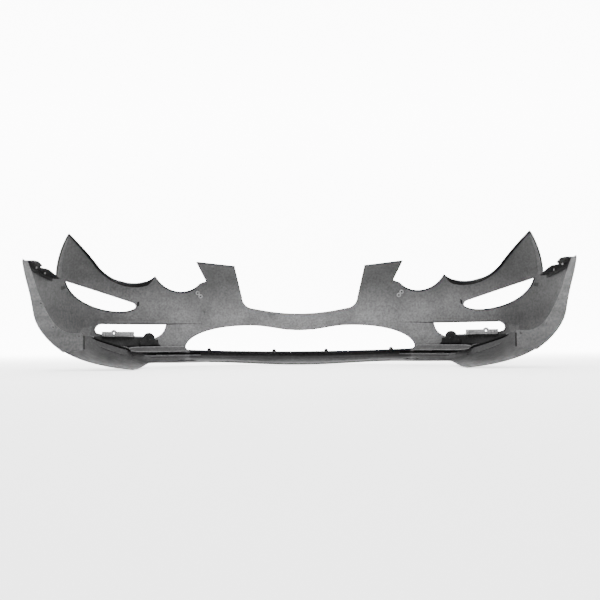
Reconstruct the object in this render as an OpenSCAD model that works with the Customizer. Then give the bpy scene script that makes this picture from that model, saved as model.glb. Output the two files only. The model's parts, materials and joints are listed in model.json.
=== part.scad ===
// Front bumper cover of a large saloon car, as a moulded skin with its panels,
// retainers, brackets and fasteners. X runs across the car, +Y points to the
// nose, +Z is up, and the origin is under the middle of the cover. The modules
// work from the line of the wing ends, and placed() moves them to the origin.

/* [Overall] */
// Half of the width at the wheel arches
half_w = 925; // [890:5:950]
// Depth from the wing ends to the nose
depth = 650; // [620:5:680]
// How square the corners are in plan
plan_n = 2.2; // [2:0.05:2.4]
// Wall of the moulded skin
wall = 3; // [2.5:0.1:4]
// Height of the horn tips
horn_top = 486; // [470:1:500]

/* [Wheel arch] */
// Radius of the wheel arch
arch_r = 380; // [370:1:390]
// Distance of the wheel centre behind the wing ends
arch_back = 259; // [250:1:265]
// Height of the wheel centre
arch_z = 100; // [90:1:110]
// Wall of the arch closeout panel
closeout_t = 3.2; // [2.5:0.1:4]
// Radius of the liner holes in the closeout
liner_hole_r = 4; // [3:0.5:5]

/* [Openings] */
// Height of the lowest point of the grille opening
grille_z = 208; // [200:1:216]
// Half width of the lower intake
intake_half = 463; // [440:1:470]
// Height of the fog opening's top edge
fog_top = 166; // [160:1:170]

/* [Lower edge] */
// Half length of the separate centre strip
strip_half = 443; // [430:1:450]
// Width of the floor behind the front face
floor_w = 95; // [80:1:105]
// Distance of the corner floor's inner edge from the middle
pan_half = 575; // [560:1:590]

/* [Brackets] */
// Wall of the brackets and tabs
plate_t = 3; // [2.5:0.1:4]
// Radius of the screw holes in the brackets
screw_hole_r = 3.5; // [3:0.1:4]
// Width of the side retainer's flange
retainer_w = 38; // [32:1:42]

/* [Hidden] */
$fn = 48;

skin_grey = [0.40, 0.40, 0.41];
strip_grey = [0.36, 0.36, 0.37];
panel_grey = [0.56, 0.56, 0.56];
dark_grey = [0.14, 0.14, 0.15];
light_grey = [0.68, 0.68, 0.68];
metal_grey = [0.60, 0.60, 0.62];

middle_y = 329.3;        // from the wing ends to the middle of the cover
gap = 0.5;               // space between neighbouring pieces
loft_top = 500;          // height where the skin is cut from
face_rows = 11;          // rows of facets down the face
floor_rows = 5;          // rows of facets across the floor
columns = 80;            // facets along the whole skin
front_crease = 45;       // height where the face turns under at the front
side_crease = 90;        // the same at the wheel arch
arch_skin_r = arch_r + closeout_t + gap;

// ---------- smooth form of the skin ----------

function clamp01(v) = max(0, min(1, v));
function smooth(v) = let (c = clamp01(v)) c * c * (3 - 2 * c);
function mix(a, b, s) = a + (b - a) * s;
function signed_pow(v, e) = sign(v) * pow(abs(v), e);
function fold(t) = min(t, 180 - t);

// How far the sides and the front lie inside the belt line at height z
function side_in(z) = z < 200 ? 0.005 * pow(200 - z, 2) : (z > 300 ? 0.00167 * pow(z - 300, 2) : 0);
function front_in(z) = z > 170 ? 0.0012 * pow(z - 170, 2) : 0.0015 * pow(170 - z, 2);

// Point on the face: t is 0 at the right wing end, 90 at the nose and 180 at the left
function on_face(t, z, inset = 0) = [
    (half_w - side_in(z) - inset) * signed_pow(cos(t), 2 / plan_n),
    (depth - front_in(z) - inset) * signed_pow(sin(t), 2 / plan_n),
    z
];
function side_t(x, z, inset = 0) = acos(pow(x / (half_w - side_in(z) - inset), plan_n / 2));
function face_y(x, z, inset = 0) = on_face(side_t(x, z, inset), z, inset)[1];
// Plan direction square to the face, in degrees from +X
function face_turn(x, z) = let (y = face_y(x, z))
    atan2(pow(y, plan_n - 1) / pow(depth - front_in(z), plan_n),
          pow(x, plan_n - 1) / pow(half_w - side_in(z), plan_n));

// ---------- floor under the face ----------

arch_t = 8.6;            // angle of the wheel arch
pan_t = 39.3;            // where the corner floor starts to narrow
front_t = 51.5;          // where the floor has its front width

function crease_z(t) = mix(front_crease, side_crease, smooth(1 - (fold(t) - 16) / 32));
function edge_z(t) = 14 * smooth((fold(t) - 15) / 25) * (1 - smooth((fold(t) - 60) / 30));
function edge_point(t) = let (
    s = sign(cos(t)) == 0 ? 1 : sign(cos(t)),
    pan = [s * pan_half, mix(110, 400, (fold(t) - arch_t) / (pan_t - arch_t))],
    front = on_face(t, crease_z(t), floor_w),
    w = smooth((fold(t) - pan_t) / (front_t - pan_t))
) [mix(pan[0], front[0], w), mix(pan[1], front[1], w), edge_z(t)];

// Curve from the crease to the floor's free edge, lifted by the wall when asked
function floor_point(t, s, lift = 0) = let (
    c = on_face(t, crease_z(t)),
    e = edge_point(t),
    k = [mix(c[0], e[0], 0.3), mix(c[1], e[1], 0.3), mix(e[2], c[2], 0.2)],
    p = c * (1 - s) * (1 - s) + k * 2 * s * (1 - s) + e * s * s,
    d = (k - c) * (1 - s) + (e - k) * s,
    run = norm([d[0], d[1]]),
    n = [d[0] / run * -d[2], d[1] / run * -d[2], run] / norm(d)
) p + n * lift;

// ---------- sweeping of thin walls ----------

function flip(v) = [for (i = [len(v) - 1 : -1 : 0]) v[i]];

// Thin wall through rings that list the outer side and then the inner side back
module wall_sweep(rings) {
    k = len(rings[0]);
    end = (len(rings) - 1) * k;
    sides = [for (i = [0 : len(rings) - 2]) for (j = [0 : k - 1])
        let (a = i * k + j, b = i * k + (j + 1) % k)
        each [[a, b + k, b], [a, a + k, b + k]]];
    caps = [for (j = [0 : k / 2 - 2]) each [
        [j, j + 1, k - 2 - j], [j, k - 2 - j, k - 1 - j],
        [end + j, end + k - 2 - j, end + j + 1], [end + j, end + k - 1 - j, end + k - 2 - j]
    ]];
    polyhedron(points = [for (r = rings) each r], faces = concat(sides, caps), convexity = 10);
}

function skin_ring(t) = let (
    zc = crease_z(t),
    face_z = [for (j = [0 : face_rows - 1]) mix(loft_top, zc, j / face_rows)],
    floor_s = [for (j = [0 : floor_rows]) j / floor_rows]
) concat(
    [for (z = face_z) on_face(t, z)],
    [for (s = floor_s) floor_point(t, s)],
    flip(concat(
        [for (z = face_z) on_face(t, z, wall)],
        [for (s = floor_s) floor_point(t, s, wall)]
    ))
);

// ---------- outlines seen from the front, right half ----------

function arc(c, r, a0, a1, steps) = [for (i = [0 : steps])
    let (a = mix(a0, a1, i / steps)) [c[0] + r * cos(a), c[1] + r * sin(a)]];
function mirrored(pts) = [for (p = flip(pts)) [-p[0], p[1]]];

big_lamp = [655, 450];   // centre of the big headlamp arc
big_lamp_r = 125;
small_lamp = [480, 398]; // centre of the small headlamp arc
small_lamp_r = 100;
horn_tip = [821, horn_top];
prong_outer = [412, 414];
prong_inner = [263, 400];
grille_corner = [192, 277];
grille_corner_r = 47;

function grille_floor(x) = grille_z + 22 * pow(x / grille_corner[0], 2);

// Everything above the top edge, from the middle to the horn tip
small_arc = arc(small_lamp, small_lamp_r, -138, -25, 16);
big_arc = concat(arc(big_lamp, big_lamp_r, -131, -25, 18), [horn_tip]);
top_edge = concat(
    [for (x = [0 : 32 : 160]) [x, grille_floor(x)]],
    arc(grille_corner, grille_corner_r, -80, 5, 7),
    [prong_inner, prong_outer, [379, 341]],
    small_arc,
    big_arc
);

function intake_top(x) = x < 205
    ? 139 + 11 * (1 - cos(180 * x / 205))
    : 72 + 89 * sqrt(1 - pow((x - 205) / (intake_half - 205), 2.2));
function strip_top(x) = 53 + 10 * pow(x / strip_half, 2);

intake_edge = concat(
    [for (x = [0 : 20.5 : 205]) [x, intake_top(x)]],
    [for (i = [1 : 10]) let (x = mix(205, intake_half, sin(9 * i))) [x, intake_top(x)]],
    [[intake_half - 8, 63], [strip_half + gap, 62]]
);

function bezier(a, b, c, d, steps) = [for (i = [0 : steps]) let (s = i / steps, r = 1 - s)
    a * r * r * r + b * 3 * r * r * s + c * 3 * r * s * s + d * s * s * s];

signal_edge = concat(
    arc([662, 236], 14, 110, 230, 6),
    bezier([662, 221], [700, 200], [845, 215], [857, 320], 12)
);

fog_edge = concat(
    [[539, fog_top]],
    bezier([545, 144], [552, 128], [562, 118], [580, 110], 5),
    [[640, 111], [758, 122]],
    arc([758, 144], 22, -60, 80, 7)
);

module placed() {
    translate([0, -middle_y, 0]) children();
}

module placed_left() {
    placed() mirror([1, 0, 0]) children();
}

module front_cut(pts) {
    translate([0, depth + 50, 0]) rotate([90, 0, 0]) linear_extrude(height = depth + 40) polygon(pts);
}

module both_sides() {
    children();
    mirror([1, 0, 0]) children();
}

// ---------- wing top and wheel arch ----------

function wing_z(y) = 377 - 0.14 * y - 0.0004 * y * y;
horn_back = [226, 198];  // rear edge of the horn at its foot and at its tip

module wing_cut() {
    foot = horn_back[0];
    edge = concat([for (y = [-20 : 41 : foot]) [y, wing_z(max(y, 0))]], [[foot, wing_z(foot)]]);
    rotate([90, 0, 90]) linear_extrude(height = 2 * half_w + 40, center = true)
        polygon(concat(edge, [[horn_back[1], horn_top], [horn_back[1], 560], [-20, 560]]));
}

module arch_cylinder(r) {
    translate([0, -arch_back, arch_z]) rotate([0, 90, 0])
        cylinder(r = r, h = 2 * half_w + 60, center = true, $fn = 180);
}

function arch_y(z) = sqrt(arch_r * arch_r - pow(z - arch_z, 2)) - arch_back;
function arch_x(z) = let (w = half_w - side_in(z), d = depth - front_in(z))
    w * pow(1 - pow(max(0, arch_y(z)) / d, plan_n), 1 / plan_n);

// ---------- skin ----------

lamp_flange = [22, 12];  // how far the flange under the headlamp runs back and down
small_flange = [9, 3];   // the same under its inner part
flange_t = 2.4;
flange_end = 0.15;       // size of a flange at its ends, against its middle

// Return flange that slopes back and down from an edge of the skin
module return_flange(edge, size) {
    last = len(edge) - 1;
    wall_sweep([for (i = [0 : last]) let (
        s = i / last,
        grow = mix(flange_end, 1, smooth(4 * s) * smooth(4 - 4 * s)),
        turn = face_turn(edge[i][0], edge[i][1]),
        out = [cos(turn), sin(turn), 0],
        root = [edge[i][0], face_y(edge[i][0], edge[i][1]), edge[i][1]] - out * wall / 2,
        lip = root - out * size[0] * grow - [0, 0, size[1] * grow]
    ) [root, lip, lip - [0, 0, flange_t], root - [0, 0, flange_t]]]);
}

module fascia_skin() {
    color(skin_grey) resize([0, 0, 0]) difference() {
        union() {
            difference() {
                wall_sweep([for (i = [0 : columns]) skin_ring(180 * i / columns)]);
                front_cut(concat(mirrored(top_edge), top_edge, [[900, 560], [-900, 560]]));
            }
            both_sides() {
                return_flange(big_arc, lamp_flange);
                return_flange(small_arc, small_flange);
            }
        }
        front_cut(concat(
            mirrored(intake_edge), intake_edge,
            [[strip_half + gap, -20], [-strip_half - gap, -20]]
        ));
        both_sides() {
            front_cut(signal_edge);
            front_cut(fog_edge);
        }
        arch_cylinder(arch_skin_r);
        wing_cut();
        both_sides() joiner_pin_places() cylinder(r = pin_r + 0.3, h = 60, $fn = 24);
    }
}

// ---------- centre strip ----------

ledge_w = 24;            // depth of the ledge along the intake's lower edge

function strip_ring(t) = let (
    x = on_face(t, strip_top(0))[0],
    z = strip_top(x),
    s_list = [for (j = [0 : floor_rows]) j / floor_rows]
) concat(
    [on_face(t, z, ledge_w), on_face(t, z)],
    [for (s = s_list) floor_point(t, s)],
    flip(concat(
        [on_face(t, z - wall, ledge_w), on_face(t, z - wall, wall)],
        [for (s = s_list) floor_point(t, s, wall)]
    ))
);

module lower_centre_strip() {
    first = side_t(strip_half + 60, front_crease);
    steps = 32;
    color(strip_grey) resize([0, 0, 0]) difference() {
        wall_sweep([for (i = [0 : steps]) strip_ring(mix(first, 180 - first, i / steps))]);
        both_sides() joiner_pin_places() cylinder(r = pin_r + 0.3, h = 60, $fn = 24);
        both_sides() translate([strip_half - gap, 0, -20]) cube([160, depth, 120]);
    }
}

// ---------- side strips ----------

channel_d = 16;          // depth of the side strip, which is hollow towards the skin

function channel_ring(x, low, high) = let (
    near = wall + 2.5,
    far = near + channel_d,
    t = side_t(x, 60),
    lip = 2.5
) [
    on_face(t, low, far), on_face(t, low, near),
    on_face(t, low + lip, near), on_face(t, low + lip, far - lip),
    on_face(t, high - lip, far - lip), on_face(t, high - lip, near),
    on_face(t, high, near), on_face(t, high, far)
];

module lower_side_strip() {
    steps = 18;
    rings = [for (i = [0 : steps]) let (
        s = i / steps,
        x = mix(662, 462, s),
        grow = sqrt(1 - pow(2 * s - 1, 6))
    ) channel_ring(x, 66 - 3 - 8 * grow, 66 + 3 + 9 * grow)];
    color(strip_grey) channel_sweep(rings);
}

// Closed sweep of the eight-point channel outline
module channel_sweep(rings) {
    k = len(rings[0]);
    end = (len(rings) - 1) * k;
    sides = [for (i = [0 : len(rings) - 2]) for (j = [0 : k - 1])
        let (a = i * k + j, b = i * k + (j + 1) % k)
        each [[a, b, b + k], [a, b + k, a + k]]];
    quads = [[0, 3, 2, 1], [0, 7, 4, 3], [7, 6, 5, 4]];
    caps = [for (q = quads) each [[q[0], q[1], q[2]], [q[0], q[2], q[3]]]];
    far = [for (c = caps) [end + c[2], end + c[1], end + c[0]]];
    polyhedron(points = [for (r = rings) each r], faces = concat(sides, caps, far), convexity = 8);
}

// ---------- arch closeout ----------

liner_holes = [[762, 118], [851, 150], [885, 232]];
panel_foot = [818, 62];  // where the panel leaves the skin's edge
panel_edge = 748;        // free inner edge of the panel

closeout_outline = concat(
    [for (z = [370 : -20 : 90]) [arch_x(z) - gap, z]],
    [panel_foot, [panel_edge, 71], [panel_edge, 129], [793, 129]],
    bezier([793, 129], [845, 137], [872, 190], [892, 275], 9),
    [[897, 330], [899, 370]]
);

module arch_closeout() {
    color(panel_grey) difference() {
        intersection() {
            front_cut(closeout_outline);
            arch_cylinder(arch_r + closeout_t);
        }
        arch_cylinder(arch_r);
        for (h = liner_holes) {
            translate([h[0], 0, h[1]]) rotate([-90, 0, 0]) cylinder(r = liner_hole_r, h = 200);
        }
    }
}

// ---------- side retainer ----------

retainer_from = 20;      // rear end of the retainer
leg_from = 47;           // rear end of its leg against the skin
retainer_to = 214;       // front end of the retainer
leg_to = 206;            // front end of the leg
leg_h = 15;              // height of the leg
retainer_tilt = atan2(wing_z(retainer_from) - wing_z(retainer_to), retainer_to - retainer_from);
retainer_holes = [48, 168];
clip_places = [80, 140];

// Inner side of the skin along the wing top
function wing_x(y) = let (z = wing_z(y))
    (half_w - side_in(z)) * pow(1 - pow(y / (depth - front_in(z)), plan_n), 1 / plan_n) - wall - 1;

retainer_outline = concat(
    [for (i = [0 : 6]) let (y = mix(retainer_from, retainer_to, i / 6)) [wing_x(y), y]],
    [[wing_x(retainer_to) - retainer_w + 16, retainer_to]],
    [for (p = [[186, -8], [150, 0], [125, 4], [108, 2], [98, -11], [85, -12], [72, 2], [32, 5]])
        [wing_x(p[0]) - retainer_w - p[1], p[0]]],
    [[wing_x(retainer_from) - retainer_w + 8, retainer_from]]
);

// Tilts a plan outline along the wing top
module along_wing(drop = 3) {
    translate([0, retainer_from, wing_z(retainer_from) - drop]) rotate([-retainer_tilt, 0, 0])
        translate([0, -retainer_from, 0]) children();
}

module side_retainer() {
    color(dark_grey) along_wing() difference() {
        union() {
            translate([0, 0, -plate_t]) linear_extrude(height = plate_t) polygon(retainer_outline);
            translate([0, 0, -leg_h]) linear_extrude(height = leg_h) polygon(concat(
                [for (i = [0 : 6]) let (y = mix(leg_from, leg_to, i / 6)) [wing_x(y), y]],
                [for (i = [6 : -1 : 0]) let (y = mix(leg_from, leg_to, i / 6)) [wing_x(y) - plate_t, y]]
            ));
        }
        for (y = retainer_holes) {
            translate([wing_x(y) - 20, y, -10]) cylinder(r = screw_hole_r, h = 20);
        }
        for (y = clip_places) {
            translate([wing_x(y) - 17, y, -10]) cylinder(r = 3, h = 20);
        }
    }
}

module retainer_clip_nuts() {
    color(metal_grey) both_sides() along_wing() for (y = clip_places) {
        translate([wing_x(y) - 17, y, 0]) difference() {
            union() {
                translate([-8, -8, 0.1]) cube([16, 16, 1.2]);
                translate([0, 0, -3 - 6]) cylinder(r = 2.8, h = 9.2);
            }
            translate([0, 0, -20]) cylinder(r = 1.9, h = 40);
        }
    }
}

// ---------- pieces placed square to the face ----------

// Puts local +Y along the face's outward direction, with the origin inset from the face
module square_to_face(x, z, inset) {
    translate([x, face_y(x, z), z]) rotate([0, 0, face_turn(x, z) - 90]) translate([0, -inset, 0])
        children();
}

// Upright plate whose outline is drawn in local X and Z
module upright(t) {
    rotate([90, 0, 0]) linear_extrude(height = t) children();
}

// Dark bracket of the fog lamp, between its opening and the crease
module fog_backing() {
    near = wall + 2.5;
    steps = 14;
    color(dark_grey) wall_sweep([for (i = [0 : steps]) let (
        x = mix(778, 566, i / steps),
        high = x > 740 ? mix(121, 117, (x - 740) / 38) : (x > 620 ? mix(118, 121, (x - 620) / 120)
            : mix(92, 118, smooth((x - 566) / 54))),
        low = max(81, 63 + 0.4 * (x - 654))
    ) [
        on_face(side_t(x, high), high, near), on_face(side_t(x, low), low, near),
        on_face(side_t(x, low), low, near + plate_t), on_face(side_t(x, high), high, near + plate_t)
    ]]);
}

fog_tab_at = [607, 107];
fog_rail_at = [712, 128];
rail_len = 136;

module fog_tab() {
    color(dark_grey) square_to_face(fog_tab_at[0], fog_tab_at[1], wall + 22) difference() {
        union() {
            upright(plate_t) union() {
                circle(r = 25);
                translate([-38, -23]) square([76, 20]);
            }
            rotate([90, 0, 0]) cylinder(r = 8, h = plate_t + 4);
        }
        translate([0, 5, 0]) rotate([90, 0, 0]) cylinder(r = screw_hole_r, h = 20);
    }
}

module fog_rail() {
    boss = [18, 2];
    color(light_grey) square_to_face(fog_rail_at[0], fog_rail_at[1], wall + 16) difference() {
        union() {
            upright(plate_t) union() {
                translate([-rail_len / 2, -10]) square([rail_len, 18]);
                translate(boss) circle(r = 13);
            }
            translate([-rail_len / 2, -plate_t - 9, -10]) cube([rail_len, 10, 2.5]);
        }
        translate([boss[0], 5, boss[1]]) rotate([90, 0, 0]) cylinder(r = screw_hole_r, h = 20);
        for (x = [-56, 50]) {
            translate([x, 5, -1]) rotate([90, 0, 0]) cylinder(r = 2.4, h = 20);
        }
    }
}

module fog_rail_screws() {
    color(metal_grey) both_sides() square_to_face(fog_rail_at[0], fog_rail_at[1], wall + 16) {
        for (x = [-56, 50]) {
            translate([x, 0, -1]) rotate([90, 0, 0]) {
                translate([0, 0, plate_t + 0.1]) cylinder(r = 4.6, h = 2.4);
                translate([0, 0, -5]) cylinder(r = 2.1, h = plate_t + 5.6);
            }
        }
    }
}

second_loop = [-11, -13]; // second eye of the headlamp tab, from its first

module headlamp_tab() {
    color(light_grey) square_to_face(416, 292, wall + 5) difference() {
        union() {
            upright(plate_t) union() {
                circle(r = 9);
                translate(second_loop) circle(r = 9);
            }
            rotate([-90, 0, 0]) cylinder(r = 6.5, h = 2);
        }
        translate([0, 5, 0]) rotate([90, 0, 0]) cylinder(r = screw_hole_r, h = 20);
        translate([second_loop[0], 5, second_loop[1]]) rotate([90, 0, 0])
            cylinder(r = screw_hole_r, h = 20);
    }
}

module grille_locating_lugs() {
    color(dark_grey) both_sides() square_to_face(116, 199, wall + 1.5) {
        translate([-12, -8, -3]) cube([24, 8, 6]);
        translate([-16, -2, -5]) cube([32, 2, 10]);
    }
}

module beam_locating_studs() {
    color(dark_grey) both_sides() square_to_face(388, 212, wall + 1.5) rotate([90, 0, 0]) {
        cylinder(r = 4, h = 14);
        cylinder(r = 7, h = 2);
    }
}

// ---------- clips and joiners along the lower edge ----------

pin_r = 3;

joiner_size = [68, 28, 2.5];

// Middle of the floor at the strip's end, and the height of its upper side there
joiner_t = side_t(strip_half / 0.93, front_crease);
joiner_y = floor_point(joiner_t, 0.7)[1];
joiner_z = floor_point(joiner_t, 0.5, wall)[2] + gap;

module at_joiner() {
    translate([strip_half, joiner_y, 0]) rotate([0, 0, face_turn(strip_half, front_crease) - 90])
        children();
}

module joiner_pin_places() {
    at_joiner() for (x = [-18, 18]) translate([x, 0, 0]) children();
}

module strip_joiner() {
    color(panel_grey) difference() {
        at_joiner() translate([-joiner_size[0] / 2, -joiner_size[1] / 2, joiner_z]) cube(joiner_size);
        joiner_pin_places() cylinder(r = pin_r + 0.3, h = 60);
    }
}

module strip_push_pins() {
    color(dark_grey) both_sides() joiner_pin_places() {
        translate([0, 0, joiner_z + 2.6]) cylinder(r = 8, h = 2);
        translate([0, 0, joiner_z - 14]) cylinder(r = pin_r, h = 17);
    }
}

module intake_clips() {
    color(dark_grey) both_sides() for (x = [107, 368]) {
        z = strip_top(x);
        square_to_face(x, z, 0) translate([-7, -18, gap]) {
            cube([14, 12, 5]);
            translate([4, 3, 4]) cube([6, 6, 5]);
        }
    }
}

placed() fascia_skin();
placed() lower_centre_strip();
placed() lower_side_strip();  // lower_side_strip_right
placed_left() lower_side_strip();  // lower_side_strip_left
placed() arch_closeout();  // arch_closeout_right
placed_left() arch_closeout();  // arch_closeout_left
placed() side_retainer();  // side_retainer_right
placed_left() side_retainer();  // side_retainer_left
placed() fog_rail();  // fog_rail_right
placed_left() fog_rail();  // fog_rail_left
placed() fog_backing();  // fog_backing_right
placed_left() fog_backing();  // fog_backing_left
placed() fog_tab();  // fog_tab_right
placed_left() fog_tab();  // fog_tab_left
placed() headlamp_tab();  // headlamp_tab_right
placed_left() headlamp_tab();  // headlamp_tab_left
placed() strip_joiner();  // strip_joiner_right
placed_left() strip_joiner();  // strip_joiner_left
placed() intake_clips();
placed() strip_push_pins();
placed() retainer_clip_nuts();
placed() fog_rail_screws();
placed() grille_locating_lugs();
placed() beam_locating_studs();
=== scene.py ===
import json
import math

import bmesh
import bpy
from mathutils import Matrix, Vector, geometry


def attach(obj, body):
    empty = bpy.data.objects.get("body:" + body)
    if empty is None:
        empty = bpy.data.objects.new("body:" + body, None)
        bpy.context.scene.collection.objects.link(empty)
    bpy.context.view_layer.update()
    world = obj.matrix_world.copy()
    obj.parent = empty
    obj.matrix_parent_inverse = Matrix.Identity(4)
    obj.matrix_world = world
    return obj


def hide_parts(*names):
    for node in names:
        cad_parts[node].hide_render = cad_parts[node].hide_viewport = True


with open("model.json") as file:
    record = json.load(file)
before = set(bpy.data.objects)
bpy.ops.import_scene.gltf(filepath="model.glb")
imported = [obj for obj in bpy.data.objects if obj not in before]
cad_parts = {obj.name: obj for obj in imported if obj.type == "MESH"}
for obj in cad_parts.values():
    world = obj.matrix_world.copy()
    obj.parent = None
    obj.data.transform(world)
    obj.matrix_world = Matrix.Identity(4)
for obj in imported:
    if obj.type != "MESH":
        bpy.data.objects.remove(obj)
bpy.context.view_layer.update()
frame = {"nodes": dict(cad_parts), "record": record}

# ---------- driving sizes of the cover, in millimetres from the line of the wing ends ----------

HALF_W = 925.0           # half of the width at the wheel arches
DEPTH = 650.0            # from the wing ends to the nose
PLAN_N = 2.2             # how square the corners are in plan
WALL = 3.0               # wall of the moulded skin
SKIP = 0.4               # keeps the smooth skin inside the box of the faceted CAD skin
MIDDLE_Y = 329.3         # from the wing ends to the frame's origin
FLOOR_W = 95.0           # width of the floor behind the front face
PAN_HALF = 575.0         # inner edge of the corner floor
STRIP_HALF = 443.0       # half length of the separate centre strip
JOINT_GAP = 0.1          # from the joint's middle to the strip and to the skin
ARCH_R = 385.0           # wheel-arch radius at the skin's edge
ARCH_BACK = 259.0        # wheel centre behind the wing ends
ARCH_Z = 100.0           # height of the wheel centre
CLOSEOUT_R = 381.6       # radius at the middle of the closeout's wall
CLOSEOUT_EDGE = 748.0    # free edge of the closeout
FRONT_CREASE = 45.0      # height where the face turns under at the front
SIDE_CREASE = 90.0       # the same at the wheel arch
HORN_TOP = 485.0
HORN_BACK = (226.0, 198.0)

# ---------- the smooth form, the same as the CAD's ----------


def place(p):
    """Millimetres from the wing ends to metres in the frame."""
    return Vector((p.x, p.y - MIDDLE_Y, p.z)) * 0.001


def smooth(v):
    c = max(0.0, min(1.0, v))
    return c * c * (3 - 2 * c)


def mix(a, b, s):
    return a + (b - a) * s


def signed_pow(v, e):
    return math.copysign(abs(v) ** e, v)


def side_in(z):
    if z < 200:
        return 0.005 * (200 - z) ** 2
    return 0.00167 * (z - 300) ** 2 if z > 300 else 0.0


def front_in(z):
    return 0.0012 * (z - 170) ** 2 if z > 170 else 0.0015 * (170 - z) ** 2


def on_face(t, z, inset=0.0):
    a = math.radians(t)
    return Vector((
        (HALF_W - side_in(z) - inset) * signed_pow(math.cos(a), 2 / PLAN_N),
        (DEPTH - front_in(z) - inset) * signed_pow(math.sin(a), 2 / PLAN_N),
        z,
    ))


def side_t(x, z, inset=0.0):
    ratio = min(1.0, x / (HALF_W - side_in(z) - inset))
    return math.degrees(math.acos(ratio ** (PLAN_N / 2)))


def back_t(y, z):
    ratio = min(1.0, y / (DEPTH - front_in(z)))
    return math.degrees(math.asin(ratio ** (PLAN_N / 2)))


def crease_z(t):
    return mix(FRONT_CREASE, SIDE_CREASE, smooth(1 - (t - 16) / 32))


def edge_point(t):
    """The floor's free edge."""
    low = 14 * smooth((t - 15) / 25) * (1 - smooth((t - 60) / 30))
    pan = Vector((PAN_HALF, mix(110, 400, (t - 8.6) / (39.3 - 8.6)), 0))
    front = on_face(t, crease_z(t), FLOOR_W)
    p = pan.lerp(front, smooth((t - 39.3) / (51.5 - 39.3)))
    p.z = low
    return p


def floor_point(t, s):
    c = on_face(t, crease_z(t))
    e = edge_point(t)
    k = c.lerp(e, 0.3)
    k.z = mix(e.z, c.z, 0.2)
    return c * (1 - s) ** 2 + k * 2 * s * (1 - s) + e * s * s


# The skin as one sheet: a runs along it and w across it, with w = 0 at the crease
PER_DEGREE = 14.0
FLOOR_SPAN = 180.0
MIDDLE_A = 90 * PER_DEGREE


def sheet_point(a, w):
    t = a / PER_DEGREE
    if w >= 0:
        return on_face(t, w + crease_z(t))
    return floor_point(t, -w / FLOOR_SPAN)


def sheet_normal(a, w):
    """Square to the sheet, pointing out of the car."""
    da = sheet_point(a + 1, w) - sheet_point(a - 1, w)
    dw = sheet_point(a, w + 1) - sheet_point(a, w - 1)
    return da.cross(dw).normalized()


def inner(a, w, lift=0.0):
    """A point on the inner side of the sheet, or lifted from it."""
    return sheet_point(a, w) - sheet_normal(a, w) * (SKIP + WALL + lift)


def front_ab(x, z):
    t = side_t(x, z)
    return (t * PER_DEGREE, z - crease_z(t))


def drawn(pts, closed=False):
    """Sheet places of an outline drawn in x and z."""
    return [front_ab(x, z) for x, z in densify(pts, 5.0, closed)]


def solve(f, low, high):
    """The place between low and high where f changes sign."""
    up = f(high) > 0
    for _ in range(40):
        mid = (low + high) / 2
        if (f(mid) > 0) == up:
            high = mid
        else:
            low = mid
    return (low + high) / 2


# ---------- outlines, right half, in millimetres ----------


def arc(c, r, a0, a1, steps):
    angles = [math.radians(mix(a0, a1, i / steps)) for i in range(steps + 1)]
    return [(c[0] + r * math.cos(a), c[1] + r * math.sin(a)) for a in angles]


def bezier(a, b, c, d, steps):
    out = []
    for i in range(steps + 1):
        s = i / steps
        r = 1 - s
        out.append(tuple(a[k] * r ** 3 + b[k] * 3 * r * r * s + c[k] * 3 * r * s * s + d[k] * s ** 3
                         for k in (0, 1)))
    return out


def grille_floor(x):
    return 208 + 22 * (x / 192) ** 2


def intake_top(x):
    if x < 205:
        return 139 + 11 * (1 - math.cos(math.radians(180 * x / 205)))
    return 72 + 89 * math.sqrt(max(0.0, 1 - ((x - 205) / 258) ** 2.2))


def strip_top(x):
    return 53 + 10 * (x / STRIP_HALF) ** 2


def wing_z(y):
    return 377 - 0.14 * y - 0.0004 * y * y


GRILLE_EDGE = [(x, grille_floor(x)) for x in range(0, 161, 16)] + arc((192, 277), 47, -80, 5, 12)
PRONG_EDGE = [(263, 400), (412, 414), (379, 341)]
SMALL_ARC = arc((480, 398), 100, -138, -25, 30)
BIG_ARC = arc((655, 450), 125, -131, -25, 34) + [(820, HORN_TOP)]
INTAKE_EDGE = ([(x, intake_top(x)) for x in range(0, 205, 12)]
               + [(205 + 258 * math.sin(math.radians(4.5 * i)),
                   intake_top(205 + 258 * math.sin(math.radians(4.5 * i)))) for i in range(21)]
               + [(455, 63), (STRIP_HALF + JOINT_GAP, 62)])
SIGNAL_EDGE = (arc((662, 236), 14, 110, 230, 10)
               + bezier((662, 221), (700, 200), (845, 215), (857, 320), 30))
FOG_EDGE = ([(539, 166)] + bezier((545, 144), (552, 128), (562, 118), (580, 110), 8)
            + [(640, 111), (758, 122)] + arc((758, 144), 22, -60, 80, 12))


def arch_gap(p):
    return (p.y + ARCH_BACK) ** 2 + (p.z - ARCH_Z) ** 2 - ARCH_R ** 2


def horn_place(z, back=0.0):
    """Sheet place on the horn's rear edge at height z, or a way in front of it."""
    s = (z - wing_z(HORN_BACK[0])) / (HORN_TOP - wing_z(HORN_BACK[0]))
    t = back_t(mix(HORN_BACK[0], HORN_BACK[1], s) + back, z)
    return (t * PER_DEGREE, z - crease_z(t))


def wing_place(y, drop=0.0):
    """Sheet place on the wing's top edge, or a way below it."""
    z = wing_z(y) - drop
    t = back_t(y, z)
    return (t * PER_DEGREE, z - crease_z(t))


WING_CORNER = solve(lambda y: arch_gap(Vector((0, y, wing_z(y)))), 0, 60)


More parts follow.
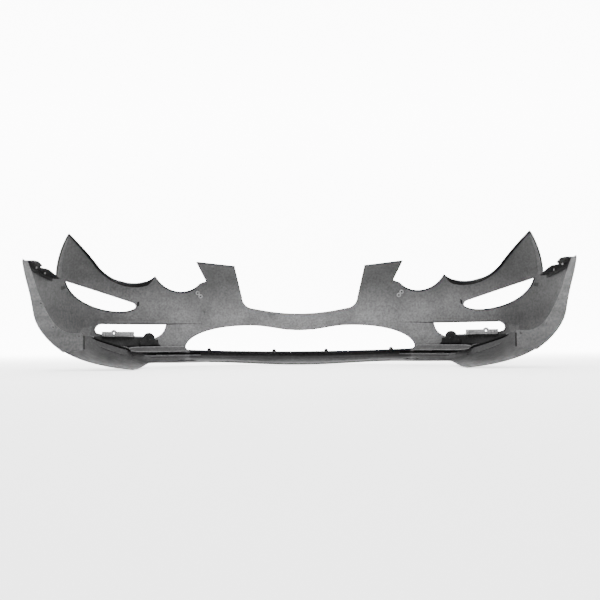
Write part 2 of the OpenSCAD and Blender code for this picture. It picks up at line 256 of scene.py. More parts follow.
def wing_and_arch():
    """Sheet outline from the horn's tip back along the wing top and down the wheel arch."""
    out = [horn_place(mix(HORN_TOP, wing_z(HORN_BACK[0]), i / 15)) for i in range(1, 16)]
    out += [wing_place(mix(HORN_BACK[0], WING_CORNER, i / 24)) for i in range(1, 25)]
    for i in range(1, 33):
        z = mix(wing_z(WING_CORNER), SIDE_CREASE, i / 32)
        t = solve(lambda t: arch_gap(on_face(t, z)), 0, 30)
        out.append((t * PER_DEGREE, z - crease_z(t)))
    for i in range(1, 25):
        s = i / 24
        out.append((solve(lambda t: arch_gap(floor_point(t, s)), 0, 30) * PER_DEGREE, -s * FLOOR_SPAN))
    return out


def floor_side():
    """Sheet outline along the floor's inner edge and up the joint with the centre strip."""
    x = STRIP_HALF + JOINT_GAP
    ends = [solve(lambda t: x - floor_point(t, 1 - i / 12).x, 40, 80) for i in range(13)]
    first = solve(lambda t: arch_gap(floor_point(t, 1)), 0, 30)
    out = [(mix(first, ends[0], i / 60) * PER_DEGREE, -FLOOR_SPAN) for i in range(1, 61)]
    return out + [(t * PER_DEGREE, -FLOOR_SPAN * (12 - i) / 12) for i, t in enumerate(ends)][1:]


# ---------- mesh helpers ----------


def densify(pts, step, closed=True):
    out = []
    for i, p in enumerate(pts if closed else pts[:-1]):
        q = pts[(i + 1) % len(pts)]
        n = max(1, math.ceil(math.dist(p, q) / step))
        out += [(mix(p[0], q[0], k / n), mix(p[1], q[1], k / n)) for k in range(n)]
    return out if closed else out + [pts[-1]]


def without_doubles(pts):
    return [p for i, p in enumerate(pts) if math.dist(p, pts[i - 1]) > 0.05]


def inside(p, loop):
    hit = False
    for i, a in enumerate(loop):
        b = loop[i - 1]
        if (a[1] > p[1]) != (b[1] > p[1]):
            if p[0] < a[0] + (p[1] - a[1]) * (b[0] - a[0]) / (b[1] - a[1]):
                hit = not hit
    return hit


def triangulate(outer, holes, step):
    """Points and triangles inside the outline and outside the holes."""
    pts, edges, near = [], [], {}
    for loop in [outer] + holes:
        first = len(pts)
        pts += loop
        edges += [(first + i, first + (i + 1) % len(loop)) for i in range(len(loop))]
    for p in pts:
        near.setdefault((round(p[0] / step), round(p[1] / step)), []).append(p)
    low = [min(p[k] for p in outer) for k in (0, 1)]
    high = [max(p[k] for p in outer) for k in (0, 1)]
    for i in range(1, math.ceil((high[0] - low[0]) / step)):
        for j in range(1, math.ceil((high[1] - low[1]) / step)):
            p = (high[0] - i * step, low[1] + j * step)
            key = (round(p[0] / step), round(p[1] / step))
            close = [q for di in (-1, 0, 1) for dj in (-1, 0, 1)
                     for q in near.get((key[0] + di, key[1] + dj), ())]
            if any(math.dist(p, q) < step * 0.5 for q in close):
                continue
            if inside(p, outer) and not any(inside(p, h) for h in holes):
                pts.append(p)
    made = geometry.delaunay_2d_cdt([Vector(p) for p in pts], edges, [], 0, 1e-4)
    kept = []
    for f in made[2]:
        c = tuple(sum(made[0][v][k] for v in f) / len(f) for k in (0, 1))
        if inside(c, outer) and not any(inside(c, h) for h in holes):
            kept.append(tuple(f))
    return [tuple(v) for v in made[0]], kept


def add_face(bm, verts, mat):
    face = bm.faces.new(verts)
    face.material_index = mat


def thick_sheet(bm, verts, faces, near, far, mat=0):
    """Adds a wall between two depths under the sheet, with its rims."""
    normals = [sheet_normal(a, w) for a, w in verts]
    places = [sheet_point(a, w) for a, w in verts]
    outer = [bm.verts.new(place(p - n * near)) for p, n in zip(places, normals)]
    under = [bm.verts.new(place(p - n * far)) for p, n in zip(places, normals)]
    edges = set()
    for f in faces:
        add_face(bm, [outer[v] for v in f], mat)
        add_face(bm, [under[v] for v in reversed(f)], mat)
        edges.update((f[i], f[(i + 1) % len(f)]) for i in range(len(f)))
    for a, b in sorted(edges):
        if (b, a) not in edges and not (abs(places[a].x) < 0.01 and abs(places[b].x) < 0.01):
            add_face(bm, [outer[b], outer[a], under[a], under[b]], mat)


def pad(bm, outline, near, thick, mat=0, step=8.0):
    """A plate on the inner side of the sheet, from its outline in sheet places."""
    verts, faces = triangulate(densify(without_doubles(outline), step), [], step)
    thick_sheet(bm, verts, faces, SKIP + WALL + near, SKIP + WALL + near + thick, mat)


def link_rings(bm, rings, mat=0):
    """Skins a row of rings and closes its two ends."""
    k = len(rings[0])
    for r, s in zip(rings, rings[1:]):
        for j in range(k):
            add_face(bm, [r[j], s[j], s[(j + 1) % k], r[(j + 1) % k]], mat)
    add_face(bm, rings[0], mat)
    add_face(bm, list(reversed(rings[-1])), mat)


def tube(bm, path, r, mat=0, sides=6):
    """Rod along a path; r is its radius, or a function from 0 at the start to 1 at the end."""
    rings, last = [], len(path) - 1
    for i, p in enumerate(path):
        along = (path[min(i + 1, last)] - path[max(i - 1, 0)]).normalized()
        side = along.cross(Vector((0, 0, 1)))
        if side.length < 0.2:
            side = along.cross(Vector((0, 1, 0)))
        side.normalize()
        up = side.cross(along)
        size = r(i / last) if callable(r) else r
        turns = [2 * math.pi * j / sides for j in range(sides)]
        rings.append([bm.verts.new(place(p + side * math.cos(a) * size + up * math.sin(a) * size))
                      for a in turns])
    link_rings(bm, rings, mat)


def sheet_path(pts, lift=0.0):
    """Points on the inner side of the sheet, at most 6 mm apart."""
    return [inner(a, w, lift) for a, w in densify(list(pts), 6.0, closed=False)]


def return_flange(bm, edge, back, down, mat):
    """Flange that slopes back and down from an edge of the skin."""
    pts = densify(edge, 6.0, closed=False)
    rings = []
    for i, (x, z) in enumerate(pts):
        s = i / (len(pts) - 1)
        grow = mix(0.15, 1, smooth(7 * s) * smooth(7 - 7 * s))
        t = side_t(x, z)
        along = on_face(t + 0.5, z) - on_face(t - 0.5, z)
        out = Vector((along.y, -along.x, 0)).normalized()
        root = on_face(t, z) - out * WALL / 2 - Vector((0, 0, 0.3))
        lip = root - out * back * grow - Vector((0, 0, down * grow))
        thick = Vector((0, 0, 2.4))
        rings.append([bm.verts.new(place(p)) for p in (root, lip, lip - thick, root - thick)])
    link_rings(bm, rings, mat)


def drum(bm, at, out, r, h, mat=0, sides=20):
    """Short round peg at a point, from -h/2 to h/2 along a direction, with a bevelled top."""
    turn = out.to_track_quat("Z", "Y")
    rings = []
    for k, size in ((-0.5, r), (0.42, r), (0.5, r * 0.85)):
        turns = [2 * math.pi * j / sides for j in range(sides)]
        spots = [Vector((math.cos(a) * size, math.sin(a) * size, k * h)) for a in turns]
        rings.append([bm.verts.new(place(at + turn @ spot)) for spot in spots])
    link_rings(bm, rings, mat)


def mirror_all(bm):
    """Adds the left half and welds the two at the middle."""
    made = bmesh.ops.duplicate(bm, geom=bm.verts[:] + bm.edges[:] + bm.faces[:])["geom"]
    for v in (g for g in made if isinstance(g, bmesh.types.BMVert)):
        v.co.x = -v.co.x
    bmesh.ops.reverse_faces(bm, faces=[g for g in made if isinstance(g, bmesh.types.BMFace)])
    bmesh.ops.remove_doubles(bm, verts=[v for v in bm.verts if abs(v.co.x) < 1e-5], dist=1e-5)


def finish_mesh(bm, name, sharp=35.0):
    bmesh.ops.recalc_face_normals(bm, faces=bm.faces[:])
    limit = math.radians(sharp)
    for f in bm.faces:
        f.smooth = True
    for e in bm.edges:
        e.smooth = len(e.link_faces) == 2 and e.calc_face_angle(0) < limit
    mesh = bpy.data.meshes.new(name)
    bm.to_mesh(mesh)
    bm.free()
    obj = bpy.data.objects.new(name, mesh)
    bpy.context.scene.collection.objects.link(obj)
    return obj


def piece(bm, name, looks, replaced=()):
    """Finishes a piece of the right half together with its mirror image."""
    mirror_all(bm)
    obj = finish_mesh(bm, name)
    for look in looks:
        obj.data.materials.append(look)
    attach(obj, "root")
    if replaced:
        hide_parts(*replaced)


# ---------- materials ----------


def plastic(name, level, roughness=0.55, mottle=0.2, grain=0.3, streaks=0.0, shade_fade=1.0, sheen=0.3):
    """Moulded plastic: soft mottling, fine specks, a grain, an uneven sheen and, where asked, painted shade
    that darkens the top, the wings and the low floor.
    """
    mat = bpy.data.materials.new(name)
    mat.use_nodes = True
    nodes, links = mat.node_tree.nodes, mat.node_tree.links
    shader = nodes["Principled BSDF"]
    where = nodes.new("ShaderNodeTexCoord")

    def noise(scale, detail=4.0, stretch=(1, 1, 1)):
        turn = nodes.new("ShaderNodeMapping")
        turn.inputs["Scale"].default_value = stretch
        links.new(where.outputs["Object"], turn.inputs["Vector"])
        node = nodes.new("ShaderNodeTexNoise")
        node.inputs["Scale"].default_value = scale
        node.inputs["Detail"].default_value = detail
        links.new(turn.outputs["Vector"], node.inputs["Vector"])
        return node.outputs["Fac"]

    def ramp(source, start, end, low, high, kind="SMOOTHSTEP"):
        node = nodes.new("ShaderNodeMapRange")
        node.interpolation_type = kind
        for key, value in (("From Min", start), ("From Max", end), ("To Min", low), ("To Max", high)):
            node.inputs[key].default_value = value
        links.new(source, node.inputs["Value"])
        return node.outputs["Result"]

    def spread(source, low, high):
        return ramp(source, 0.3, 0.7, low, high, "LINEAR")

    def times(a, b):
        node = nodes.new("ShaderNodeMath")
        node.operation = "MULTIPLY"
        links.new(a, node.inputs[0])
        links.new(b, node.inputs[1])
        return node.outputs[0]

    tone = times(spread(noise(7.0, 5.0), 1 - mottle, 1 + mottle), spread(noise(130.0, 3.0), 0.7, 1.3))
    # streaks of tone; on the centre strip they are painted highlights in wavy bands
    if streaks:
        tone = times(tone, spread(noise(14.0, 4.0, (0.25, 0.25, 3.0)), 1 - streaks, 1 + streaks))
    # painted shade: darker towards the top and out towards the wings, and darker again low down on the floor
    if shade_fade != 1:
        split = nodes.new("ShaderNodeSeparateXYZ")
        links.new(where.outputs["Object"], split.inputs["Vector"])
        reach = nodes.new("ShaderNodeMath")
        reach.operation = "ABSOLUTE"
        links.new(split.outputs["X"], reach.inputs[0])
        darker = nodes.new("ShaderNodeMath")
        darker.operation = "MINIMUM"
        links.new(ramp(split.outputs["Z"], 0.18, 0.36, 1.0, shade_fade), darker.inputs[0])
        links.new(ramp(reach.outputs[0], 0.42, 0.88, 1.0, mix(shade_fade, 1, 0.1)), darker.inputs[1])
        tone = times(times(tone, darker.outputs[0]), ramp(split.outputs["Z"], 0.03, 0.13, 0.45, 1.0))
    scaled = nodes.new("ShaderNodeVectorMath")
    scaled.operation = "SCALE"
    scaled.inputs[0].default_value = (level, level, level * 1.01)
    links.new(tone, scaled.inputs["Scale"])
    links.new(scaled.outputs[0], shader.inputs["Base Color"])
    links.new(spread(noise(38.0), roughness - 0.07, roughness + 0.08), shader.inputs["Roughness"])
    bump = nodes.new("ShaderNodeBump")
    bump.inputs["Strength"].default_value = grain
    bump.inputs["Distance"].default_value = 0.0006
    links.new(noise(700.0, 2.0), bump.inputs["Height"])
    links.new(bump.outputs["Normal"], shader.inputs["Normal"])
    shader.inputs["Specular IOR Level"].default_value = sheen
    return mat


# The skin and its doubled bands take painted shade towards the top, the wings and the low floor.
SKIN = plastic("skin_plastic", 0.132, mottle=0.24, streaks=0.06, shade_fade=0.23)
DOUBLER = plastic("doubler_plastic", 0.17, mottle=0.24, streaks=0.06, shade_fade=0.26)
# Darker plastic that paints the shade of a shallow recess on the corner floor.
RECESS_SHADE = plastic("painted_recess_shade", 0.055, roughness=0.6)
# Near-black plastic for painted shade: dark lines, rims, dots, marks and bores where shade falls.
SHADE = plastic("painted_shade_plastic", 0.012, roughness=0.6)
# Near-black for painted shade under the lamp flanges and along the signal slot's lower rim.
BLACK_SHADE = plastic("painted_black_shade", 0.006, roughness=0.85, mottle=0.3, sheen=0.02)
# The centre strip's strong streaks paint its wavy highlights.
STRIP = plastic("strip_plastic", 0.066, roughness=0.5, mottle=0.12, streaks=0.4)
# Darker plastic for the painted shadow of the centre strip's ledge.
LEDGE_SHADE = plastic("painted_ledge_shade", 0.03, roughness=0.6, mottle=0.3, streaks=0.3)
LEAF = plastic("side_strip_plastic", 0.043, roughness=0.5, mottle=0.14, streaks=0.2)
PANEL = plastic("panel_plastic", 0.064, streaks=0.2)
# Near-black plastic for the intake clips and retainer ribs, and for painted shade in grooves, bands and marks
# on the skin.
DARK = plastic("dark_plastic", 0.004, roughness=0.7, mottle=0.35, sheen=0.1)
BRACKET = plastic("bracket_plastic", 0.013, roughness=0.6, mottle=0.7, grain=0.5, streaks=0.3, sheen=0.12)
LIGHT = plastic("light_plastic", 0.2, roughness=0.5, mottle=0.25)
# Lighter plastic that paints highlights along lit edges of ribs, rims and beads.
RIB_HIGHLIGHT = plastic("painted_highlight_plastic", 0.16, roughness=0.5, mottle=0.15)
PEG = plastic("peg_plastic", 0.12)
SPECK = plastic("speck_plastic", 0.05, roughness=0.5, mottle=0.3)
ZINC = plastic("zinc_steel", 0.2, roughness=0.35, mottle=0.12, grain=0.1)

# ---------- the moulded skin ----------

SKIN_STEP = 8.0          # size of the skin's triangles
LAMP_FLANGE = (22, 14)   # how far the outer lamp arc's flange goes back and down
SMALL_FLANGE = (9, 4)    # the same on the inner lamp arc
FLOOR_RIB = -26          # place across the sheet of the rib that runs along the floor
FLOOR_STEP = -52         # the same for the step behind it
RETAINER_RIBS = range(30, 205, 12)  # places of the retainer's ribs in front of the wing ends

# Where the corner floor meets the face, as turn angles and sheet heights
CREASE_LINE = [(29, 43), (31.8, 35), (34.8, 27), (37.5, 20), (40.3, 13), (43.5, 6), (47, 2), (52, 0), (62, 0)]


def turned(line, lift):
    """Sheet places of a line given by turn angles and sheet heights."""
    return [(t * PER_DEGREE, w + lift) for t, w in densify(line, 0.7, closed=False)]


def edge_band(bm, edge, start, end, thick, mat):
    """A band along an edge, between two distances from it that vary along the edge."""
    pts = densify(edge, 5.0, closed=False)
    sides = ([], [])
    for i, p in enumerate(pts):
        a, b = pts[max(0, i - 1)], pts[min(len(pts) - 1, i + 1)]
        run = math.dist(a, b)
        down = ((b[1] - a[1]) / run, (a[0] - b[0]) / run)
        for side, far in zip(sides, (start, end)):
            d = far(i / (len(pts) - 1))
            side.append(front_ab(p[0] + down[0] * d, p[1] + down[1] * d))
    pad(bm, sides[0] + sides[1][::-1], 0.1, thick, mat, 5.0)


def build_skin():
    """The skin's wall with its flanges, rims and creases."""
    bm = bmesh.new()
    looks = [SKIN, SHADE, RIB_HIGHLIGHT, DARK, BLACK_SHADE]
    skin, shade, rib, dark, deep_shade = range(len(looks))
    upper = drawn(GRILLE_EDGE + PRONG_EDGE + SMALL_ARC + BIG_ARC)
    lower = drawn(INTAKE_EDGE[::-1])
    outer = densify(without_doubles(upper + wing_and_arch() + floor_side() + lower), SKIN_STEP * 0.7)
    holes = [drawn(e, True) for e in (SIGNAL_EDGE, FOG_EDGE)]
    verts, faces = triangulate(outer, holes, SKIN_STEP)
    thick_sheet(bm, verts, faces, SKIP, SKIP + WALL, skin)
    # flanges behind the lamp arcs, near black as painted shade, and a rod along the outer arc's edge
    # lightened as a painted highlight
    return_flange(bm, BIG_ARC, *LAMP_FLANGE, deep_shade)
    return_flange(bm, SMALL_ARC, *SMALL_FLANGE, deep_shade)
    tube(bm, sheet_path(drawn(BIG_ARC[4:24])), lambda s: 2.8 * smooth(5 * s) * smooth(4 - 4 * s) + 0.2, rib)
    # rolled rims around the openings, near black as painted shade along the edges
    tube(bm, sheet_path(drawn(SIGNAL_EDGE[8:])), 2.6, deep_shade)
    tube(bm, sheet_path(drawn([FOG_EDGE[-1], FOG_EDGE[0]])), 2.4, shade)
    tube(bm, sheet_path(drawn(INTAKE_EDGE[4:-2])), 1.5, shade)
    tube(bm, sheet_path(drawn(PRONG_EDGE[:2]), lift=1), 3.4, shade)
    tube(bm, sheet_path(drawn(PRONG_EDGE[1:])), 1.4, shade)
    tube(bm, sheet_path(drawn(GRILLE_EDGE)), 1.4, shade)
    tube(bm, sheet_path(horn_place(z, 1.5) for z in range(370, 482, 6)), 1.2, shade)
    # styling line that runs inboard from the fog opening, dark as painted shade in its crease
    styling = [(x, 166 + (539 - x) * 0.03) for x in (539, 500, 440, 400)]
    tube(bm, sheet_path(drawn(styling)), lambda s: mix(2.2, 0.3, s), shade)
    # crease between the face and the floor: painted shade as a dark groove, under a rib lightened as a
    # painted highlight
    corner = CREASE_LINE[:7]
    tube(bm, sheet_path(turned(corner, 4), lift=0.5), lambda s: 1.9 * smooth(8 * s) + 0.3, rib)
    tube(bm, sheet_path(turned(corner, -5), lift=1.6), lambda s: 3.9 * smooth(8 * s) + 0.3, dark)
    tube(bm, sheet_path(turned(CREASE_LINE[5:], 0), lift=2), 3.6, dark)
    # rib along the floor, lightened as a painted highlight, and the step behind it, dark with painted shade
    tube(bm, sheet_path(turned([(43, FLOOR_RIB), (62, FLOOR_RIB)], 0)), 1.7, rib)
    tube(bm, sheet_path(turned([(45, FLOOR_STEP), (62, FLOOR_STEP)], 0)), 1.5, shade)
    piece(bm, "moulded_skin", looks, ["fascia_skin"])


def horn_band(bm, band, dots):
    """Doubled band along the horn's rear edge, with a dotted seam and a short tear line."""
    foot = wing_z(HORN_BACK[0]) + 6
    rise = [mix(foot, HORN_TOP - 16, i / 12) for i in range(13)]
    seam = [horn_place(z, mix(24, 12, i / 12)) for i, z in enumerate(rise)]
    pad(bm, [horn_place(z, 3) for z in rise] + seam[::-1], 0.1, 1.2, band)
    for a, w in densify(seam, 9.0, closed=False):
        drum(bm, inner(a, w, 0.8), sheet_normal(a, w), 1.6, 2.2, dots, 8)
    tube(bm, sheet_path([horn_place(foot + 26, 3), horn_place(foot + 24, 40)]), 0.9, dots)


def lamp_edge_shades(bm, look):
    """Painted shade: dark strips behind the edges of the two lamp arcs, where the flanges' shadow falls."""
    edge_band(bm, BIG_ARC, lambda s: 5 * smooth(8 * s) * (1 - smooth(3 * s - 0.6)),
              lambda s: 0.6 + 16 * smooth(6 * s) * mix(1, 0.35, s), 2.0, look)
    edge_band(bm, SMALL_ARC, lambda s: 0, lambda s: 0.6 + 5 * smooth(4 * s) * smooth(4 - 4 * s), 1.0, look)


def corner_floor(bm, boss, bore, recess_shade_look, line):
    """Boss on the corner floor with its bore painted dark as shade, and a shallow recess drawn as a darker
    pad and line of painted shade.
    """
    a, w = 38.1 * PER_DEGREE, -46
    drum(bm, inner(a, w, 1.5), sheet_normal(a, w), 8, 4, boss)
    drum(bm, inner(a, w, 4), sheet_normal(a, w), 5, 2, bore)
    middle = [(29.5, 12), (31, 0), (33, -18), (35, -36)]
    pad(bm, turned(middle, 7) + turned(middle, -9)[::-1], 0.1, 0.6, recess_shade_look, 5.0)
    tube(bm, sheet_path(turned(middle, -10)), 1.6, line)


def build_skin_details():
    """Doubled bands, pads and bosses moulded on the inner side of the skin, with dark pads and rods of
    painted shade.
    """
    bm = bmesh.new()
    looks = [DOUBLER, RIB_HIGHLIGHT, DARK, SHADE, RECESS_SHADE]
    double, rib, dark, shade, recess_shade_look = range(len(looks))
    horn_band(bm, double, shade)
    lamp_edge_shades(bm, dark)
    corner_floor(bm, double, shade, recess_shade_look, shade)
    # pad and rim at the fog opening's outer end; the rim is lightened as a painted highlight
    pad(bm, drawn([(790, 118), (815, 121), (818, 148), (788, 156)], True), 0.1, 1.0, double)
    tube(bm, sheet_path(drawn(FOG_EDGE[9:]), lift=3), 2.6, rib)
    # shadowed land between the fog bracket and the crease
    land = drawn([(782, 116), (740, 115), (700, 110), (640, 106), (580, 103)])
    pad(bm, turned(CREASE_LINE[:8], 4) + land[::-1], 0.1, 0.5, dark)
    # painted shade marks beside the two ends of the turn signal's slot
    tip = turned([(21.4, 200), (21.4, 214)], 0) + turned([(23.0, 218), (23.2, 210)], 0)
    pad(bm, tip, 0.1, 0.8, shade, 3.0)
    pad(bm, drawn([(638, 238), (643, 236), (643, 251), (635, 257)], True), 0.1, 0.8, dark, 3.0)
    # painted shadow along the closeout's free edge
    edge_shadow = [Vector((CLOSEOUT_EDGE - 2.2, math.sqrt(CLOSEOUT_R ** 2 - (z - ARCH_Z) ** 2) - ARCH_BACK, z))
            for z in range(72, 121, 6)]
    tube(bm, edge_shadow, 2.2, dark)
    # dark discs of painted shade for the bores behind the loops of the headlamp's tab
    for a, w in (front_ab(402.8, 279), front_ab(413.8, 292)):
        drum(bm, inner(a, w, 0.3), sheet_normal(a, w), 4.2, 0.8, shade)
    piece(bm, "skin_doublers_and_painted_shade", looks)


def build_retainer_ribs():
    """Small ribs and studs under the side retainer's flange."""
    bm = bmesh.new()
    looks = [DARK, SPECK]
    rib, stud = range(len(looks))
    for y in RETAINER_RIBS:
        z = wing_z(y) - 7.5
        x = on_face(back_t(y, z), z).x
        tube(bm, [Vector((x - 8, y, z)), Vector((x - 30, y + 3, z - 0.5))], 1.3, rib)
        scatter = (y * 7) % 11
        drum(bm, Vector((x - 14 - scatter, y + 6, z)), Vector((0, 0, 1)), 2.0, 2.6, stud, 8)
    piece(bm, "retainer_ribs", looks)


# ---------- strips ----------

LEDGE_DEPTH = 24.0       # depth of the centre strip's ledge
LEAF_IN = 462.0          # inner end of a side strip
LEAF_OUT = 662.0         # outer end of a side strip
LEAF_Z = 66.0            # mid height of a side strip
JOINT_ROW = -0.7 * FLOOR_SPAN  # place across the sheet of the joint plates and their pins
PLATE_HALF = 14.4        # half of a joint plate's width across the sheet
PIN_GAP = 18             # from the joint to each of its two pins
CLIP_PLACES = (107, 368)  # places of the intake clips, out from the middle


def floor_a(x, w):
    """Place along the sheet where the floor reaches x."""
    return solve(lambda a: x - sheet_point(a, w).x, 40 * PER_DEGREE, MIDDLE_A)


def strip_ring(x, rows):
    """Section of the centre strip at x: ledge, face, floor, and back along its inner side."""
    z = strip_top(x)
    ring = [on_face(side_t(x, z, LEDGE_DEPTH), z, LEDGE_DEPTH), on_face(side_t(x, z), z, SKIP)]
    under = []
    for j in range(rows + 1):
        w = -FLOOR_SPAN * j / rows
        a = floor_a(x, w) if x else MIDDLE_A
        p, n = sheet_point(a, w), sheet_normal(a, min(w, -0.5))
        n.x = 0
        ring.append(p - n * SKIP)
        under.append(p - n * (SKIP + WALL))
    low = z - WALL
    ring += under[::-1] + [on_face(side_t(x, z), low, WALL + SKIP),
                           on_face(side_t(x, z, LEDGE_DEPTH), low, LEDGE_DEPTH)]
    for p in ring:
        p.x = x
        p.z = max(0.3, p.z)
    return ring


def build_centre_strip():
    """Ledge, face and floor; the ledge, the face and half of the floor's inner side are darker, as the
    painted shadow of the ledge.
    """
    bm = bmesh.new()
    looks = [STRIP, LEDGE_SHADE, SHADE]
    lip, ledge_shade_look, bead = range(len(looks))
    steps, rows = 56, 12
    stations = [mix(STRIP_HALF - JOINT_GAP, 0, i / steps) for i in range(steps + 1)]
    rings = [[bm.verts.new(place(p)) for p in strip_ring(x, rows)] for x in stations]
    k = len(rings[0])
    for r, s in zip(rings, rings[1:]):
        for j in range(k):
            on_ledge = j < 2 or j >= k - 3
            under_ledge_shadow = j > rows + 2 and 2 * rows + 3 - j < rows / 2
            look = ledge_shade_look if on_ledge or under_ledge_shadow else lip
            add_face(bm, [r[j], s[j], s[(j + 1) % k], r[(j + 1) % k]], look)
    add_face(bm, rings[0], lip)
    path = [inner(mix(62.2, 90, i / 60) * PER_DEGREE, -FLOOR_SPAN * 0.985, 1) for i in range(61)]
    tube(bm, path, 1.6, bead)
    piece(bm, "centre_strip", looks, ["lower_centre_strip"])


def leaf_edge(x, top):
    """Height of a side strip's upper or lower edge; its outer end is rounded."""
    s = (x - LEAF_IN) / (LEAF_OUT - LEAF_IN)
    grow = math.sqrt(max(0.0, 1 - (2 * s - 1) ** 6)) if s > 0.5 else 1.0
    return LEAF_Z + 3 + 9 * grow if top else LEAF_Z - 3 - 8 * grow


def build_side_strips():
    """Hollow leaf-shaped strips with a bead along each long edge, lightened as a painted highlight."""
    bm = bmesh.new()
    looks = [LEAF, RIB_HIGHLIGHT]
    leaf, bead = range(len(looks))
    rings = []
    for i in range(41):
        x = mix(LEAF_OUT - 1, LEAF_IN + 1, i / 40)
        low, high = leaf_edge(x, False), leaf_edge(x, True)
        # heights and depths of the section, around the web and then inside it
        ring = [(low, 6.5), (low, 20), (mix(low, high, 0.08), 21.5), (mix(low, high, 0.5), 20.6),
                (mix(low, high, 0.92), 21.5), (high, 20), (high, 6.5),
                (mix(low, high, 0.9), 6.5), (mix(low, high, 0.85), 18), (mix(low, high, 0.15), 18),
                (mix(low, high, 0.1), 6.5)]
        t = side_t(x, 60)
        rings.append([bm.verts.new(place(on_face(t, z, d))) for z, d in ring])
    link_rings(bm, rings, leaf)
    for top, inset in ((True, -2.4), (False, 2.4)):
        path = [on_face(side_t(x, 60), leaf_edge(x, top) + inset, 20.2)
                for x in [mix(LEAF_OUT - 2, LEAF_IN + 2, i / 40) for i in range(41)]]
        tube(bm, path, 2.0, bead)
    piece(bm, "side_strips", looks, ["lower_side_strip_left", "lower_side_strip_right"])


def build_strip_joints():
    """Plates that lap the joints of the centre strip, with two push pins each."""
    plates, pins = bmesh.new(), bmesh.new()
    near, far = JOINT_ROW + PLATE_HALF, JOINT_ROW - PLATE_HALF
    xs = [STRIP_HALF + d for d in (-34, -17, 0, 17, 34)]
    outline = [(floor_a(x, near), near) for x in xs] + [(floor_a(x, far), far) for x in xs[::-1]]
    pad(plates, outline, 0.3, 2.2, 0, 6.0)
    for x in (STRIP_HALF - PIN_GAP, STRIP_HALF + PIN_GAP):
        a = floor_a(x, JOINT_ROW)
        drum(pins, inner(a, JOINT_ROW, 3.4), sheet_normal(a, JOINT_ROW), 8, 1.8)
    piece(plates, "strip_joints", [STRIP], ["strip_joiner_left", "strip_joiner_right"])
    piece(pins, "joint_push_pins", [STRIP], ["strip_push_pins"])


def build_intake_clips():
    """Round-headed clips along the top of the centre strip."""
    bm = bmesh.new()
    turns = [math.radians(15 * i) for i in range(13)]
    for x in CLIP_PLACES:
        z = strip_top(x) + 0.2
        rings = []
        for inset in (7, 18):
            at = on_face(side_t(x, z, inset), z, inset)
            along = (on_face(side_t(x + 1, z, inset), z, inset) - at).normalized()
            head = [at + along * math.cos(a) * 8 + Vector((0, 0, math.sin(a) * 9.4)) for a in turns]
            rings.append([bm.verts.new(place(p)) for p in head])
        link_rings(bm, rings)
    piece(bm, "clip_heads", [DARK], ["intake_clips"])


build_skin()
build_skin_details()
build_retainer_ribs()
build_centre_strip()
build_side_strips()
build_strip_joints()
build_intake_clips()

# ---------- the pieces carried over from the CAD ----------

SLOT_LOOKS = {
    "skin_plastic": SKIN,
    "strip_plastic": STRIP,
    "panel_plastic": PANEL,
    "dark_plastic": BRACKET,
    "light_plastic": LIGHT,
    "zinc_steel": ZINC,
}
NODE_LOOKS = {"grille_locating_lugs": SKIN, "beam_locating_studs": PEG}
slot_of = {p["node"]: p["material_slot"] for p in frame["record"]["subparts"]}
for node_name, node_obj in frame["nodes"].items():
    node_obj.data.materials.clear()
    node_obj.data.materials.append(NODE_LOOKS.get(node_name, SLOT_LOOKS[slot_of[node_name]]))

# ---------- floor, backdrop, light and camera ----------

# Sizes of the studio, in metres
SWEEP_HALF = 12
SWEEP_BACK = -9          # end of the floor behind the wings
BEND_START = 4           # where the floor starts to curve up, beyond the nose
BEND_R = 3
SWEEP_TOP = 9
SWEEP_GAP = 0.002        # keeps the floor just clear of the cover


def glowing_paper(name, level, low, high):
    """Pale paper whose glow grows from the cover to the far end."""
    mat = bpy.data.materials.new(name)
    mat.use_nodes = True
    nodes, links = mat.node_tree.nodes, mat.node_tree.links
    shader = nodes["Principled BSDF"]
    where = nodes.new("ShaderNodeTexCoord")
    split = nodes.new("ShaderNodeSeparateXYZ")
    links.new(where.outputs["Object"], split.inputs["Vector"])
    grow = nodes.new("ShaderNodeMapRange")
    grow.interpolation_type = "SMOOTHSTEP"
    for key, value in (("From Min", 0.0), ("From Max", 3.0), ("To Min", low), ("To Max", high)):
        grow.inputs[key].default_value = value
    links.new(split.outputs["Y"], grow.inputs["Value"])
    links.new(grow.outputs["Result"], shader.inputs["Emission Strength"])
    shader.inputs["Base Color"].default_value = (level, level, level, 1)
    shader.inputs["Roughness"].default_value = 0.9
    shader.inputs["Specular IOR Level"].default_value = 0.0
    shader.inputs["Emission Color"].default_value = (1, 1, 1, 1)
    return mat


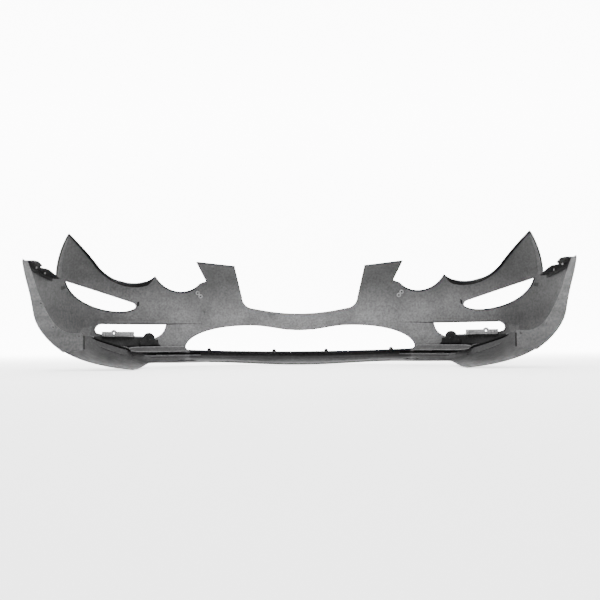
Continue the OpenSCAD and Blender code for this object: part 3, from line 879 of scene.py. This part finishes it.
def studio_sweep():
    """Pale floor that curves up into a backdrop far behind the nose."""
    bm = bmesh.new()
    bend = [math.radians(9 * i) for i in range(1, 11)]
    profile = [(SWEEP_BACK, 0), (BEND_START, 0)]
    profile += [(BEND_START + BEND_R * math.sin(a), BEND_R - BEND_R * math.cos(a)) for a in bend]
    profile += [(BEND_START + BEND_R, SWEEP_TOP)]
    rows = [[bm.verts.new((x, y, z)) for y, z in profile] for x in (-SWEEP_HALF, SWEEP_HALF)]
    for j in range(len(profile) - 1):
        add_face(bm, [rows[0][j], rows[1][j], rows[1][j + 1], rows[0][j + 1]], 0)
    obj = finish_mesh(bm, "studio_sweep", 60)
    obj.data.materials.append(glowing_paper("sweep_paper", 0.9, 1.9, 9.0))
    obj.location.z = -SWEEP_GAP


def area_light(name, at, aim, size, power):
    data = bpy.data.lights.new(name, "AREA")
    data.shape = "RECTANGLE"
    data.size, data.size_y = size
    data.energy = power
    obj = bpy.data.objects.new(name, data)
    obj.location = at
    obj.rotation_euler = (Vector(aim) - Vector(at)).to_track_quat("-Z", "Y").to_euler()
    bpy.context.scene.collection.objects.link(obj)


studio_sweep()
area_light("key_above", (0, -0.45, 2.4), (0, 0.0, 0.1), (3.4, 1.2), 90)
area_light("fill_behind", (0.5, -3.6, 1.3), (0, 0.2, 0.2), (1.6, 1.2), 12)
world = bpy.data.worlds.new("studio")
world.use_nodes = True
world.node_tree.nodes["Background"].inputs["Color"].default_value = (1, 1, 1, 1)
world.node_tree.nodes["Background"].inputs["Strength"].default_value = 0.42
bpy.context.scene.world = world

EYE = Vector((0, -2450, 105))  # millimetres from the line of the wing ends
ROLL = math.radians(0.4)  # the photo is turned a little
camera_data = bpy.data.cameras.new("camera")
camera_data.sensor_width = 36
camera_data.lens = 44.7
camera_data.shift_y = 0.0641667
camera = bpy.data.objects.new("camera", camera_data)
camera.location = place(EYE)
camera.rotation_euler = (math.radians(90), ROLL, 0)
bpy.context.scene.collection.objects.link(camera)
bpy.context.scene.camera = camera
